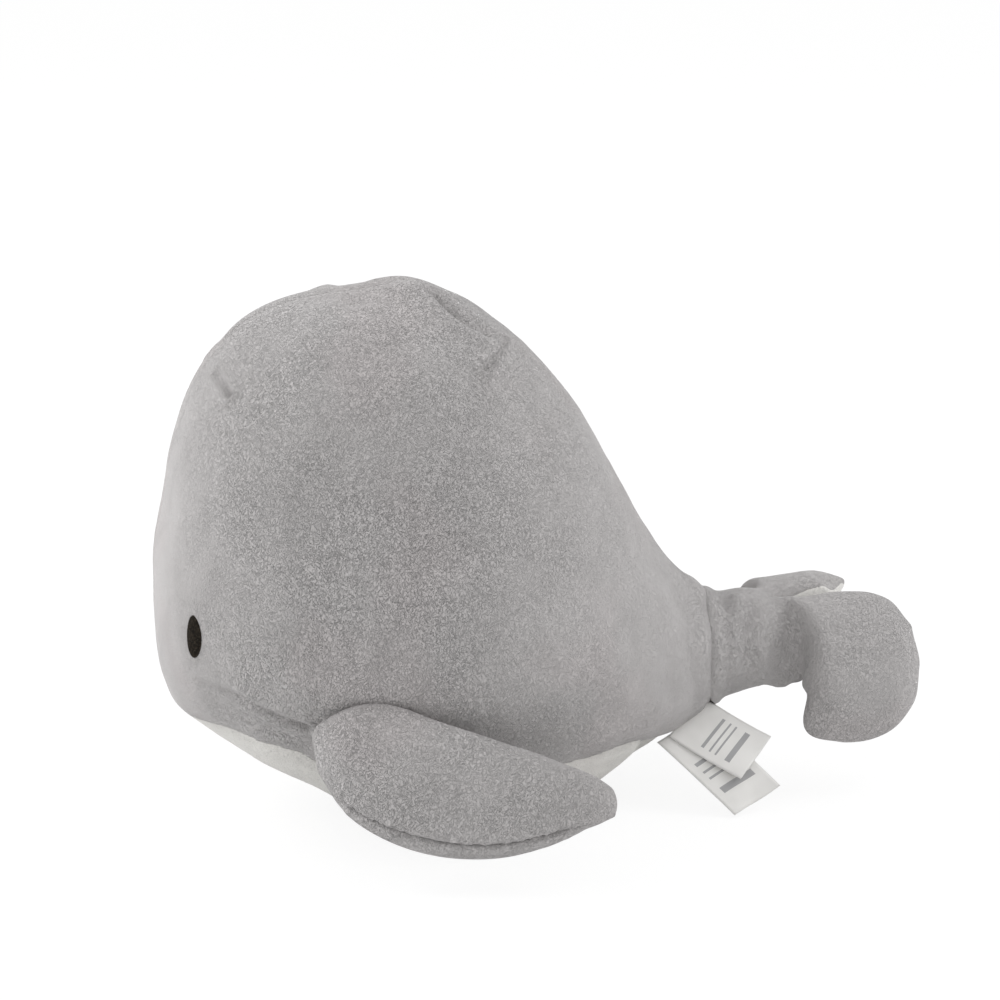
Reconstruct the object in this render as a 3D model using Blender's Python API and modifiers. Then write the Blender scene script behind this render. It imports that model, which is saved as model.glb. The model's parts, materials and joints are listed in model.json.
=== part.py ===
"""A stuffed plush whale: sewn cloth panels over fillings, two flippers, a fluked tail and two care labels.

The nose points to -X, the whale's left side to -Y, and it lies on its belly at z = 0.
"""

import math

import bmesh
import bpy
from mathutils import Euler, Matrix, Vector
from mathutils.bvhtree import BVHTree

# Driving dimensions, in metres
BODY_LENGTH = 0.2390
BODY_HEIGHT = 0.2240
BODY_WIDTH = 0.1900
TAIL_LENGTH = 0.0930
CLOTH = 0.0020

# Clearances and edges
SEAM_GAP = 0.0006
FIT_GAP = 0.0003
FILLING_GAP = 0.0010
CUTTER_MARGIN = 0.0100
WELD = 0.00001
SEAM_THINNING_SHARE = 0.15

# Body
NOSE_LEVEL_SHARE = 0.415
BELLY_SEAM_END = math.radians(148)
UPPER_SQUARENESS = 2.0
LOWER_SQUARENESS = 2.4
SIDE_CELLS = 7
BELLY_CELLS = 2
CHIN_SECTION = 1

# The body's sections from the nose back: shares of its length and half width, and of its
# height for the top, the widest level and the bottom, then the belly seam's angle from the
# crown as a share of the half turn
BODY_SECTION_SHARES = (
    (0.012, 0.390, 0.600, 0.425, 0.262, 1.00),
    (0.060, 0.590, 0.785, 0.440, 0.185, 1.00),
    (0.145, 0.785, 0.935, 0.450, 0.118, 0.79),
    (0.255, 0.920, 0.995, 0.455, 0.055, 0.765),
    (0.385, 0.990, 1.015, 0.450, -0.0080, 0.77),
    (0.520, 1.005, 1.002, 0.440, -0.0030, 0.76),
    (0.650, 0.940, 0.917, 0.420, -0.0040, 0.76),
    (0.765, 0.785, 0.772, 0.380, 0.020, 0.77),
    (0.860, 0.580, 0.565, 0.325, 0.075, 0.79),
    (0.940, 0.380, 0.423, 0.285, 0.130, 0.81),
)

# Tail: a ball-shaped root sits in the body's round opening, and the stock narrows behind it.
# The yaw swings one fluke back, so that the tail reaches a little behind its straight length.
TAIL_BALL_RADIUS = 0.0232
TAIL_LIP_CLEARANCE = 0.0010
TAIL_SOCKET_CLEARANCE = 0.0016
TAIL_SEAM_HEIGHT = 0.0610
TAIL_ROOT_DEPTH = 0.0045
TAIL_PLUG_DEPTH = 0.0200
TAIL_STOCK_RADIUS = 0.0213
TAIL_NECK_ANGLE = math.radians(25)
TAIL_SEAM_DROP = math.radians(52)
TAIL_NOTCH_REACH = 0.0350
TAIL_RIDGE_RISE = 0.0110
TAIL_LOBE_LENGTH = 0.0720
TAIL_LOBE_SWELL = 0.0148
TAIL_PITCH = math.radians(8)
TAIL_ROLL = math.radians(5)
TAIL_YAW = math.radians(18)
TAIL_DROOP = math.radians(108)
TAIL_SWUNG_REACH_SHARE = 1.03
TAIL_CELLS = 4

# One lobe's rows from the notch out: shares of the tail's and of the lobe's length for
# the inner and the outer edge, then the swell's share and the share of the droop
TAIL_LOBE_SHARES = (
    (0.430, 0.085, 0.375, 0.460, 0.95, 0.8),
    (0.590, 0.095, 0.290, 0.820, 1.00, 1.0),
    (0.785, 0.160, 0.350, 1.060, 1.00, 1.0),
    (0.910, 0.330, 0.640, 1.080, 0.80, 1.0),
    (0.950, 0.520, 0.850, 0.930, 0.00, 1.0),
)

# Flippers: each hangs from a root line sewn to the side, and slopes down and outwards
FLIPPER_LENGTH = 0.1250
FLIPPER_CHORD = 0.0680
FLIPPER_ROOT_LENGTH = 0.0560
FLIPPER_ROOT_BACK = 0.0565
FLIPPER_ROOT_LEVEL = 0.0710
FLIPPER_SLOPE = math.radians(68)
FLIPPER_YAW = math.radians(8)
FLIPPER_RISE = math.radians(3)
FLIPPER_OUTER_SWELL = 0.0120
FLIPPER_INNER_SWELL = 0.0090
FLIPPER_SEAM_ANGLE = math.radians(42)
FLIPPER_CELLS = 5

# One flipper's rows from front to tip: shares of its length and chord for the upper and
# the lower edge, then the swell's share
FLIPPER_SECTION_SHARES = (
    (0.008, 0.150, 0.024, 0.350, 0.00),
    (0.080, 0.045, 0.096, 0.650, 0.75),
    (0.200, 0.000, 0.208, 0.825, 1.00),
    (0.360, 0.050, 0.376, 0.955, 1.00),
    (0.544, 0.185, 0.560, 1.000, 1.00),
    (0.736, 0.325, 0.752, 0.940, 0.85),
    (0.890, 0.440, 0.905, 0.825, 0.55),
    (0.976, 0.600, 0.992, 0.720, 0.00),
)

# Embroidered eyes
EYE_WIDTH = 0.0088
EYE_HEIGHT = 0.0185
EYE_THICKNESS = 0.0016
EYE_LEVEL = 0.0920
EYE_PLAN_ANGLE = math.radians(35)
EYE_SIDES = 14
EYE_RINGS = 6

# Care labels, sewn in one seam near the tail
LABEL_WIDTH = 0.0250
LABEL_THICKNESS = 0.0004
LABEL_LENGTH = 0.0450
LABEL_SHORTER_BY = 0.0100
LABEL_FAN = math.radians(26)
LABEL_CURL = 0.0040
LABEL_LIFT = 0.0040
LABEL_SEAM_SHARE = 0.35
LABEL_CELLS = 4
LABEL_SEAM_DIRECTION_SHARES = (0.86, 0.35, 0.37)
LABEL_RUN_DIRECTION_SHARES = (0.55, -0.61, -0.56)

NOSE_X = -(BODY_LENGTH + TAIL_LENGTH * TAIL_SWUNG_REACH_SHARE) / 2
TAIL_SEAM_X = NOSE_X + BODY_LENGTH
TAIL_CENTRE = Vector((TAIL_SEAM_X, 0, TAIL_SEAM_HEIGHT))
LIP_RADIUS = TAIL_BALL_RADIUS + TAIL_LIP_CLEARANCE + CLOTH


def clear_scene():
    for obj in list(bpy.data.objects):
        bpy.data.objects.remove(obj, do_unlink=True)


def new_collection(name):
    collection = bpy.data.collections.new(name)
    bpy.context.scene.collection.children.link(collection)
    return collection


def material(name, colour, roughness, sheen=0.0):
    made = bpy.data.materials.new(name)
    made.use_nodes = True
    shader = made.node_tree.nodes["Principled BSDF"]
    shader.inputs["Base Color"].default_value = (*colour, 1.0)
    shader.inputs["Roughness"].default_value = roughness
    shader.inputs["Metallic"].default_value = 0.0
    shader.inputs["Sheen Weight"].default_value = sheen
    return made


def gray_plush():
    return material("gray_plush", (0.40, 0.39, 0.38), 0.95, 0.3)


def white_plush():
    return material("white_plush", (0.70, 0.68, 0.64), 0.95, 0.3)


def polyester_filling():
    return material("polyester_filling", (0.85, 0.85, 0.83), 1.0)


def eye_thread():
    return material("eye_thread", (0.030, 0.026, 0.022), 0.6)


def label_satin():
    return material("label_satin", (0.80, 0.80, 0.78), 0.45)


def add_object(name, mesh, look, collection):
    obj = bpy.data.objects.new(name, mesh)
    obj.data.materials.append(look)
    collection.objects.link(obj)
    mesh.shade_smooth()
    return obj


def add_empty(name, matrix, collection):
    """An empty on a joint's axis, which carries the pieces that turn there."""
    empty = bpy.data.objects.new(name, None)
    empty.matrix_world = matrix
    empty.empty_display_size = CLOTH
    collection.objects.link(empty)
    return empty


def mesh_from_grids(name, grids, sharp_points=()):
    """One mesh from grids of points, with equal points joined and collapsed faces dropped."""
    bm = bmesh.new()
    for grid in grids:
        rows = [[bm.verts.new(point) for point in row] for row in grid]
        for row, following in zip(rows, rows[1:]):
            for cell in range(len(row) - 1):
                bm.faces.new((row[cell], row[cell + 1], following[cell + 1], following[cell]))
    bmesh.ops.remove_doubles(bm, verts=bm.verts, dist=WELD)
    crease = bm.verts.layers.float.new("crease_vert")
    for point in sharp_points:
        nearest = min(bm.verts, key=lambda vert: (vert.co - point).length)
        nearest[crease] = 1.0
    mesh = bpy.data.meshes.new(name)
    bm.to_mesh(mesh)
    bm.free()
    return mesh


def flipped(grid):
    """The same grid with its rows turned round, so that its faces point the other way."""
    return [row[::-1] for row in grid]


def settled(points):
    """A line of points, drawn in to where Subdivision Surface settles all but its ends."""
    middle = [(before + 4 * point + after) / 6 for before, point, after in zip(points, points[1:], points[2:])]
    return [points[0], *middle, points[-1]]


def settled_along(grid):
    """The grid with the lines of points that run from its first row to its last settled."""
    lines = [settled(line) for line in zip(*grid)]
    return [list(row) for row in zip(*lines)]


def settled_both_ways(grid):
    return [settled(row) for row in settled_along(grid)]


def smooth(obj, levels=1):
    subdivide = obj.modifiers.new("smooth", "SUBSURF")
    subdivide.levels = levels
    subdivide.render_levels = levels
    subdivide.boundary_smooth = "PRESERVE_CORNERS"


def thicken(obj, thickness):
    """Makes an open form a cloth that thins towards its seams."""
    bm = bmesh.new()
    bm.from_mesh(obj.data)
    inner = [vert.index for vert in bm.verts if not vert.is_boundary]
    bm.free()
    group = obj.vertex_groups.new(name="away_from_seams")
    group.add(inner, 1.0, "REPLACE")
    shell = obj.modifiers.new("cloth", "SOLIDIFY")
    shell.thickness = thickness
    shell.offset = -1
    shell.use_even_offset = True
    shell.vertex_group = group.name
    shell.thickness_vertex_group = SEAM_THINNING_SHARE


def draw_in(obj, distance):
    """Pulls a closed form in along its normals, as a filling lies inside its cloth."""
    inset = obj.modifiers.new("inset", "DISPLACE")
    inset.mid_level = 0
    inset.strength = -distance


def cut(obj, cutter):
    boolean = obj.modifiers.new("cut", "BOOLEAN")
    boolean.operation = "DIFFERENCE"
    boolean.object = cutter
    boolean.solver = "EXACT"


def hide_cutter(cutter, cutters):
    for collection in list(cutter.users_collection):
        collection.objects.unlink(cutter)
    cutters.objects.link(cutter)
    cutter.hide_render = True
    cutter.display_type = "WIRE"


def floor_cutter(cutters):
    """A block under the floor that trims the belly flat."""
    size = BODY_LENGTH + CUTTER_MARGIN
    bpy.ops.mesh.primitive_cube_add(size=size, location=(NOSE_X + BODY_LENGTH / 2, 0, -size / 2))
    cutter = bpy.context.object
    cutter.name = "floor_cutter"
    hide_cutter(cutter, cutters)
    return cutter


def socket_cutter(cutters):
    """The round hollow in the body's filling, in which the tail's root turns."""
    bpy.ops.mesh.primitive_uv_sphere_add(
        segments=24, ring_count=12, radius=TAIL_BALL_RADIUS + TAIL_SOCKET_CLEARANCE, location=TAIL_CENTRE
    )
    cutter = bpy.context.object
    cutter.name = "socket_cutter"
    hide_cutter(cutter, cutters)
    return cutter


def ease_of(step):
    """How far a ring's cage stands outside the round form that Subdivision Surface makes of it."""
    return 3 / (2 + math.cos(step))


def body_sections():
    """Each section's x, half width, top, widest level, bottom and seam angle, with the tail's opening last."""
    sections = []
    for back, width, top, level, bottom, seam in BODY_SECTION_SHARES:
        x = NOSE_X + back * BODY_LENGTH
        heights = (top * BODY_HEIGHT, level * BODY_HEIGHT, bottom * BODY_HEIGHT)
        sections.append((x, width * BODY_WIDTH / 2, *heights, seam * math.pi))
    heights = (TAIL_SEAM_HEIGHT + LIP_RADIUS, TAIL_SEAM_HEIGHT, TAIL_SEAM_HEIGHT - LIP_RADIUS)
    sections.append((TAIL_SEAM_X, LIP_RADIUS, *heights, BELLY_SEAM_END))
    return sections


def section_point(section, angle, side, ease=1.0):
    """A point of one section, at an angle from the crown, on the left (-1) or right (+1) side."""
    x, half_width, top, level, bottom, _ = section
    across, along = max(math.sin(angle), 0.0), math.cos(angle)
    if along >= 0:
        power, reach = 2 / UPPER_SQUARENESS, top - level
    else:
        power, reach = 2 / LOWER_SQUARENESS, bottom - level
    y = side * ease * half_width * across**power
    return Vector((x, y, level + ease * reach * abs(along) ** power))


def seam_shift(section, direction):
    """The angle that moves a point half a seam gap along its section, at the belly seam."""
    seam, step = section[-1], math.radians(1)
    travel = (section_point(section, seam, 1) - section_point(section, seam - step, 1)).length
    return direction * step * SEAM_GAP / 2 / travel


def side_panel_grid(side, gap):
    """Rows of points from the crown seam to the belly seam, nose to tail."""
    pole = Vector((NOSE_X, side * gap / 2, NOSE_LEVEL_SHARE * BODY_HEIGHT))
    rows = [[pole.copy() for _ in range(SIDE_CELLS + 1)]]
    for section in body_sections():
        seam = section[-1]
        meets_belly = seam < math.pi
        end = seam + seam_shift(section, -1) if gap and meets_belly else seam
        step = end / SIDE_CELLS
        row = []
        for cell in range(SIDE_CELLS + 1):
            on_seam = cell in (0, SIDE_CELLS)
            row.append(section_point(section, step * cell, side, 1.0 if on_seam or not gap else ease_of(step)))
        row[0].y = side * gap / 2
        if not meets_belly:
            row[-1].y = side * gap / 2
        rows.append(row)
    return rows


def belly_grid(gap):
    """Rows of points across the belly from the left seam to the right, from the chin back."""
    sections = body_sections()
    chin = section_point(sections[CHIN_SECTION], math.pi, 0)
    chin.x += gap
    rows = [[chin.copy() for _ in range(2 * BELLY_CELLS + 1)]]
    for section in sections[CHIN_SECTION + 1 :]:
        start = section[-1] + (seam_shift(section, 1) if gap else 0)
        step = (math.pi - start) / BELLY_CELLS
        row = []
        for cell in range(-BELLY_CELLS, BELLY_CELLS + 1):
            on_seam = abs(cell) == BELLY_CELLS
            ease = 1.0 if on_seam or not gap else ease_of(step)
            row.append(section_point(section, math.pi - step * abs(cell), 1 if cell > 0 else -1, ease))
        rows.append(row)
    return rows


def chin_point():
    return section_point(body_sections()[CHIN_SECTION], math.pi, 0)


def body_side_panel(side, look, collection):
    name = "body_panel_left" if side < 0 else "body_panel_right"
    grid = side_panel_grid(side, SEAM_GAP)
    grid = flipped(grid) if side > 0 else grid
    panel = add_object(name, mesh_from_grids(name, [grid], [chin_point()]), look, collection)
    smooth(panel)
    thicken(panel, CLOTH)
    return panel


def belly_panel(look, collection, floor):
    mesh = mesh_from_grids("belly_panel", [belly_grid(SEAM_GAP)], [chin_point()])
    panel = add_object("belly_panel", mesh, look, collection)
    smooth(panel)
    thicken(panel, CLOTH)
    cut(panel, floor)
    return panel


def body_stuffing(look, collection, socket):
    """The filling: the closed form of all the body's panels, drawn in by their thickness."""
    left, right = (settled_along(side_panel_grid(side, 0)) for side in (-1, 1))
    belly = settled_along(belly_grid(0))
    chin = chin_point()
    left[CHIN_SECTION + 1][-1] = right[CHIN_SECTION + 1][-1] = chin
    belly[0] = [chin for _ in belly[0]]
    rear = left[-1] + belly[-1][1:-1] + right[-1][::-1]
    cap = [rear, [TAIL_CENTRE.copy() for _ in rear]]
    mesh = mesh_from_grids("body_stuffing", [left, flipped(right), belly, cap])
    stuffing = add_object("body_stuffing", mesh, look, collection)
    draw_in(stuffing, CLOTH + FILLING_GAP)
    cut(stuffing, socket)
    return stuffing


def arc_point(inner, outer, swell, angle):
    """A point on the half ellipse that swells from the inner edge (half a turn) to the outer edge (zero)."""
    place = inner.lerp(outer, (1 + math.cos(angle)) / 2)
    return Vector((place.x, place.y, swell * math.sin(angle)))


def bent(point, droop):
    """A point of the flat tail, bent down along its lobes by a share of the full droop."""
    if not droop:
        return point
    radius = TAIL_LOBE_LENGTH / (droop * TAIL_DROOP)
    angle = point.y / radius
    reach = radius + point.z
    return Vector((point.x, reach * math.sin(angle), reach * math.cos(angle) - radius + droop * TAIL_RIDGE_RISE))


def turned_aside(point):
    """A point of the tail as its stock bends sideways from the neck to the notch."""
    neck = Vector((TAIL_BALL_RADIUS * math.sin(TAIL_NECK_ANGLE), 0, 0))
    share = min(max((point.x - neck.x) / (TAIL_NOTCH_REACH - neck.x), 0), 1)
    return neck + Matrix.Rotation(share * TAIL_YAW, 3, "Z") @ (point - neck)


def tail_half_grid(face, side, gap):
    """Half of the tail's upper (+1) or lower (-1) face, in the tail's own frame, on one side.

    Without a gap it is the filling's form, settled as Subdivision Surface settles the panels.
    """
    top = face * math.pi / 2
    ball = TAIL_BALL_RADIUS
    neck_x = ball * math.sin(TAIL_NECK_ANGLE)
    stock = (
        (-TAIL_ROOT_DEPTH, math.sqrt(ball**2 - TAIL_ROOT_DEPTH**2)),
        (neck_x, ball * math.cos(TAIL_NECK_ANGLE)),
        ((neck_x + TAIL_NOTCH_REACH) / 2, TAIL_STOCK_RADIUS),
    )
    grid = []
    for x, radius in stock:
        seam = -TAIL_SEAM_DROP + face * gap / 2 / radius
        step = (top - seam) / TAIL_CELLS
        row = []
        for cell in range(TAIL_CELLS + 1):
            angle = top - step * cell
            reach = radius * (ease_of(step) if gap and cell < TAIL_CELLS else 1)
            row.append(Vector((x, reach * math.cos(angle), reach * math.sin(angle))))
        grid.append(row)
    seam = TAIL_SEAM_DROP / 2
    row = []
    for cell in range(TAIL_CELLS + 1):
        share = cell / TAIL_CELLS
        swell = face * (TAIL_LOBE_SWELL * math.sin(math.pi * share) + gap / 2)
        rise = TAIL_RIDGE_RISE * (1 - share) - TAIL_STOCK_RADIUS * math.sin(seam) * share
        row.append(Vector((TAIL_NOTCH_REACH, TAIL_STOCK_RADIUS * math.cos(seam) * share, swell + rise)))
    grid.append(row)
    for inner_x, inner_y, outer_x, outer_y, swell, droop in TAIL_LOBE_SHARES:
        inner = Vector((inner_x * TAIL_LENGTH, inner_y * TAIL_LOBE_LENGTH))
        outer = Vector((outer_x * TAIL_LENGTH, outer_y * TAIL_LOBE_LENGTH))
        row = []
        for cell in range(TAIL_CELLS + 1):
            point = arc_point(inner, outer, face * swell * TAIL_LOBE_SWELL, math.pi * (1 - cell / TAIL_CELLS))
            if cell in (0, TAIL_CELLS) or not swell:
                point.z += face * gap / 2
            row.append(bent(point, droop))
        grid.append(row)
    if not gap:
        notch = grid[len(stock)][0]
        grid = settled_both_ways(grid)
        grid[len(stock)][0] = notch
    grid = [[turned_aside(Vector((point.x, side * point.y, point.z))) for point in row] for row in grid]
    return flipped(grid) if side * face < 0 else grid


def tail_frame():
    return Matrix.Translation(TAIL_CENTRE) @ Euler((TAIL_ROLL, -TAIL_PITCH, 0)).to_matrix().to_4x4()


def tail_panel(face, look, collection, joint):
    name = "tail_upper_panel" if face > 0 else "tail_lower_panel"
    grids = [tail_half_grid(face, side, SEAM_GAP) for side in (-1, 1)]
    panel = add_object(name, mesh_from_grids(name, grids), look, collection)
    panel.parent = joint
    smooth(panel)
    thicken(panel, CLOTH)
    return panel


def tail_stuffing(look, collection, joint):
    """The tail's filling, closed in front by a rounded plug that turns in the body's socket."""
    grids = [tail_half_grid(face, side, 0) for face in (-1, 1) for side in (-1, 1)]
    mesh = mesh_from_grids("tail_stuffing", grids)
    bm = bmesh.new()
    bm.from_mesh(mesh)
    rim = [edge for edge in bm.edges if edge.is_boundary]
    made = bmesh.ops.extrude_edge_only(bm, edges=rim)["geom"]
    ring = [item for item in made if isinstance(item, bmesh.types.BMVert)]
    shoulder = (TAIL_PLUG_DEPTH + TAIL_ROOT_DEPTH) / 2
    for vert in ring:
        flat = Vector((0, vert.co.y, vert.co.z)).normalized()
        vert.co = flat * math.sqrt(TAIL_BALL_RADIUS**2 - shoulder**2) - Vector((shoulder, 0, 0))
    pole = bm.verts.new((-TAIL_PLUG_DEPTH, 0, 0))
    for edge in [edge for edge in bm.edges if edge.is_boundary]:
        bm.faces.new((*edge.verts, pole))
    bmesh.ops.recalc_face_normals(bm, faces=bm.faces)
    if bm.calc_volume(signed=True) < 0:
        bmesh.ops.reverse_faces(bm, faces=bm.faces)
    bm.to_mesh(mesh)
    bm.free()
    stuffing = add_object("tail_stuffing", mesh, look, collection)
    stuffing.parent = joint
    draw_in(stuffing, CLOTH + FILLING_GAP)
    return stuffing


def surface_of(obj):
    """The finished surface of a piece, for setting other pieces against it."""
    graph = bpy.context.evaluated_depsgraph_get()
    return BVHTree.FromObject(obj, graph)


def flipper_axes(side):
    """The flipper's root line, its way up the slope and its outward face, on one side."""
    root = Vector((math.cos(FLIPPER_YAW), side * math.sin(FLIPPER_YAW), math.sin(FLIPPER_RISE))).normalized()
    down = Vector((0, side * math.cos(FLIPPER_SLOPE), -math.sin(FLIPPER_SLOPE)))
    up = -(down - down.dot(root) * root).normalized()
    return root, up, side * up.cross(root)


def flipper_root(side, panel):
    """The middle of the root line, a fit gap outside the panel where it stands out most."""
    root, _, _ = flipper_axes(side)
    surface = surface_of(panel)
    half = FLIPPER_ROOT_LENGTH / 2
    middle = Vector((NOSE_X + FLIPPER_ROOT_BACK + half, side * BODY_WIDTH, FLIPPER_ROOT_LEVEL))
    inward = Vector((0, -side, 0))
    clear = []
    for share in (-1, -0.5, 0, 0.5, 1):
        clear.append(surface.ray_cast(middle + share * half * root, inward)[3])
    return middle + inward * (min(clear) - FIT_GAP)


def flipper_grid(face, gap):
    """One face of a flipper, outer (+1) or inner (-1), with its root line along X and its chord along -Y."""
    half = FLIPPER_ROOT_LENGTH / 2
    start, end = face * math.pi, FLIPPER_SEAM_ANGLE
    grid = []
    for upper_x, upper_y, lower_x, lower_y, swell in FLIPPER_SECTION_SHARES:
        upper = Vector((upper_x * FLIPPER_LENGTH - half, -upper_y * FLIPPER_CHORD))
        lower = Vector((lower_x * FLIPPER_LENGTH - half, -lower_y * FLIPPER_CHORD))
        row = []
        for cell in range(FLIPPER_CELLS + 1):
            angle = start + (end - start) * cell / FLIPPER_CELLS
            depth = FLIPPER_OUTER_SWELL if angle > 0 else FLIPPER_INNER_SWELL
            if swell:
                point = arc_point(upper, lower, swell * depth, angle)
            else:
                point = upper.lerp(lower, cell / FLIPPER_CELLS).to_3d()
            if cell in (0, FLIPPER_CELLS) or not swell:
                point.z += face * gap / 2
            row.append(point)
        grid.append(row)
    return grid


def capped(grid):
    """The grid without its two rims, closed there by a fan of faces to each end's middle."""
    first, last = grid[1], grid[-2]
    fans = [[row[0].lerp(row[-1], 0.5)] * len(row) for row in (first, last)]
    return [fans[0], *grid[1:-1], fans[1]]


def turned_for(side, face, grid):
    """A flipper's grid in its joint's frame, where the outer face is +Z on the left and -Z on the right."""
    placed = [[Vector((point.x, point.y, -side * point.z)) for point in row] for row in grid]
    return placed if side * face < 0 else flipped(placed)


def flipper_frame(side, panel):
    root, up, outward = flipper_axes(side)
    place = Matrix.Translation(flipper_root(side, panel))
    return place @ Matrix((root, up, -side * outward)).transposed().to_4x4()


def flipper(side, panel, gray, filling, collection):
    """One flipper: an upper and a lower panel sewn at their rim, and the filling between them."""
    hand = "left" if side < 0 else "right"
    joint = add_empty(f"flipper_{hand}_joint", flipper_frame(side, panel), collection)
    for face, word in ((1, "upper"), (-1, "lower")):
        name = f"flipper_{hand}_{word}_panel"
        grid = turned_for(side, face, flipper_grid(face, SEAM_GAP))
        piece = add_object(name, mesh_from_grids(name, [grid]), gray, collection)
        piece.parent = joint
        smooth(piece)
        thicken(piece, CLOTH)
    name = f"flipper_{hand}_stuffing"
    grids = [turned_for(side, face, capped(settled_both_ways(flipper_grid(face, 0)))) for face in (1, -1)]
    stuffing = add_object(name, mesh_from_grids(name, grids), filling, collection)
    stuffing.parent = joint
    draw_in(stuffing, CLOTH + FILLING_GAP)


def eye(side, panel, look, collection):
    """An embroidered oval that lies a fit gap above the side panel, square to it."""
    hand = "left" if side < 0 else "right"
    away = Vector((-math.cos(EYE_PLAN_ANGLE), side * math.sin(EYE_PLAN_ANGLE), 0))
    axis = Vector((NOSE_X + BODY_WIDTH / 2, 0, EYE_LEVEL))
    place, normal, _, _ = surface_of(panel).ray_cast(axis + away * BODY_LENGTH, -away)
    mesh = bpy.data.meshes.new(f"eye_{hand}")
    bm = bmesh.new()
    bmesh.ops.create_uvsphere(bm, u_segments=EYE_SIDES, v_segments=EYE_RINGS, radius=0.5)
    bmesh.ops.scale(bm, vec=(EYE_WIDTH, EYE_HEIGHT, EYE_THICKNESS), verts=bm.verts)
    bm.to_mesh(mesh)
    bm.free()
    piece = add_object(f"eye_{hand}", mesh, look, collection)
    piece.location = place + normal * (EYE_THICKNESS / 2 + FIT_GAP)
    piece.rotation_euler = normal.to_track_quat("Z", "Y").to_euler()
    return piece


def label_frame(panels):
    """The labels' shared seam: X along it, Y against the labels' run, set a fit gap off the panels."""
    last, before = body_sections()[-1], body_sections()[-2]
    seam = section_point(before, before[-1], -1).lerp(section_point(last, last[-1], -1), LABEL_SEAM_SHARE)
    along = Vector(LABEL_SEAM_DIRECTION_SHARES).normalized()
    run = Vector(LABEL_RUN_DIRECTION_SHARES)
    run = (run - run.dot(along) * along).normalized()
    start = seam + run * LABEL_LENGTH
    clear = [LABEL_LENGTH]
    for panel in panels:
        surface = surface_of(panel)
        for share in (-0.5, -0.25, 0, 0.25, 0.5):
            hit = surface.ray_cast(start + along * share * LABEL_WIDTH, -run)[3]
            if hit:
                clear.append(hit)
    place = start - run * (min(clear) - FIT_GAP - LABEL_THICKNESS)
    axes = Matrix((along, -run, along.cross(-run))).transposed().to_4x4()
    return Matrix.Translation(place) @ axes


def care_label(name, length, fan, level, lift, look, collection, joint):
    """A satin strip that leaves its seam at its level in the pair, fans round by an angle, lifts and curls.

    The one above starts further out by its level, so that it swings clear of the body.
    """
    rows = []
    for cell in range(LABEL_CELLS + 1):
        share = cell / LABEL_CELLS
        distance = level + share * length
        turn = Matrix.Rotation(fan * share, 3, "Z")
        middle = Matrix.Rotation(fan * share / 2, 3, "Z") @ Vector((0, -distance, 0))
        middle.z = level + lift * share**2 - LABEL_CURL * (distance / LABEL_LENGTH) ** 2
        rows.append([middle + turn @ Vector((end * LABEL_WIDTH / 2, 0, 0)) for end in (-1, 0, 1)])
    label = add_object(name, mesh_from_grids(name, [flipped(rows)]), look, collection)
    label.parent = joint
    smooth(label)
    cloth = label.modifiers.new("cloth", "SOLIDIFY")
    cloth.thickness = LABEL_THICKNESS
    cloth.offset = 0
    return label


def main():
    clear_scene()
    whale = new_collection("plush_whale")
    cutters = new_collection("cutters")
    floor = floor_cutter(cutters)
    socket = socket_cutter(cutters)
    gray, white, filling, thread, satin = (
        gray_plush(),
        white_plush(),
        polyester_filling(),
        eye_thread(),
        label_satin(),
    )
    panels = {side: body_side_panel(side, gray, whale) for side in (-1, 1)}
    belly = belly_panel(white, whale, floor)
    body_stuffing(filling, whale, socket)
    tail_joint = add_empty("tail_joint", tail_frame(), whale)
    tail_panel(1, gray, whale, tail_joint)
    tail_panel(-1, white, whale, tail_joint)
    tail_stuffing(filling, whale, tail_joint)
    for side, panel in panels.items():
        flipper(side, panel, gray, filling, whale)
        eye(side, panel, thread, whale)
    label_joint = add_empty("label_joint", label_frame([belly, panels[-1]]), whale)
    care_label("care_label_long", LABEL_LENGTH, 0, 0, 0, satin, whale, label_joint)
    short, level = LABEL_LENGTH - LABEL_SHORTER_BY, LABEL_THICKNESS + FIT_GAP
    care_label("care_label_short", short, LABEL_FAN, level, LABEL_LIFT, satin, whale, label_joint)


main()
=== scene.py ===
"""The plush whale's looks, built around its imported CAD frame.

The cages of the skins repeat the part's own sections, so each skin has the form of the solids
that it replaces.
Each stuffed form is made in one piece, dented and puckered, and then parted into its sewn panels.
"""

import json
import math

import bmesh
import bpy
import numpy as np
from mathutils import Euler, Matrix, Vector, noise
from mathutils.bvhtree import BVHTree
from mathutils.kdtree import KDTree


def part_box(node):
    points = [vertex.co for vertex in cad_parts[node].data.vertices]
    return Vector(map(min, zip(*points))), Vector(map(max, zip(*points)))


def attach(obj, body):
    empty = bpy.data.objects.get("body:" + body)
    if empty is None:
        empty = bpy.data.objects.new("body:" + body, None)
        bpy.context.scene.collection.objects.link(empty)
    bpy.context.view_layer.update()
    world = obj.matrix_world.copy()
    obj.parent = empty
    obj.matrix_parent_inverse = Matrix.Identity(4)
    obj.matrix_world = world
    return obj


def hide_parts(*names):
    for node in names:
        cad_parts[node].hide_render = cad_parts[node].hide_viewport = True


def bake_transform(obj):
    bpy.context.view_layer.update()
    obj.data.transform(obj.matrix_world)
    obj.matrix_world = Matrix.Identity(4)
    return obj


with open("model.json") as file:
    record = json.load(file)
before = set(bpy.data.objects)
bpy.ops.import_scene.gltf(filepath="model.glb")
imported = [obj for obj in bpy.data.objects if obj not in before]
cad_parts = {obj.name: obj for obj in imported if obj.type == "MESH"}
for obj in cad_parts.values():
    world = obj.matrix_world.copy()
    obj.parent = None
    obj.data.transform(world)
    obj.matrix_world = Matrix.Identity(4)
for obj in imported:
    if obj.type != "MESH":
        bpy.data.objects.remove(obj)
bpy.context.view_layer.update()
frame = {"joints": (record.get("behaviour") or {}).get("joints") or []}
joints = {joint["name"]: joint for joint in frame["joints"]}

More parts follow.
